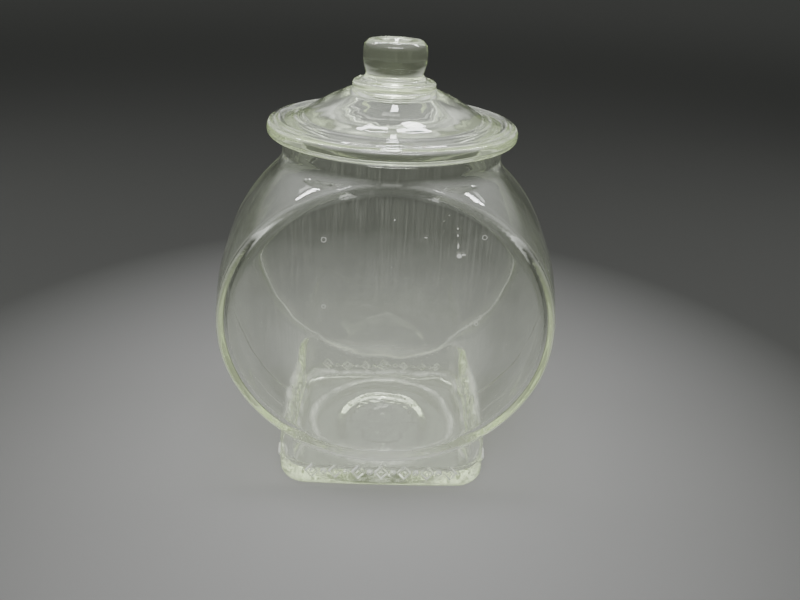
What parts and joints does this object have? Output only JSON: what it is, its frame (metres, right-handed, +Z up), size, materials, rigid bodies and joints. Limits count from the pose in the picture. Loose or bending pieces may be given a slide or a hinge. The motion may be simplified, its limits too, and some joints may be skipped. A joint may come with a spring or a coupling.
{
  "type": "counter jar",
  "caption": "Clear glass counter jar: flat-fronted drum bowl on a square foot, round neck and lift-off domed lid with a knob. Holds coins, sweets or nuts.",
  "frame": {"origin": "middle of the foot's underside, on the plane that the jar stands on", "axes": "+Z up through the knob, +X to the right along the bowl's width, -Y out of the front panel"},
  "size_m": [0.2426, 0.1678, 0.3075],
  "materials": {
    "jar_glass": "clear pressed soda glass, faint yellow-green where it is thick",
    "lid_glass": "clear pressed soda glass, slightly greener than the jar"
  },
  "bodies": {
    "jar": {"jar": "jar_glass"},
    "lid": {"lid": "lid_glass"}
  },
  "joints": [
    {"name": "lid_lift", "type": "slide", "parent": "jar", "child": "lid", "axis": [0, 0, 1], "range_m": [0, 0.08]}
  ]
}
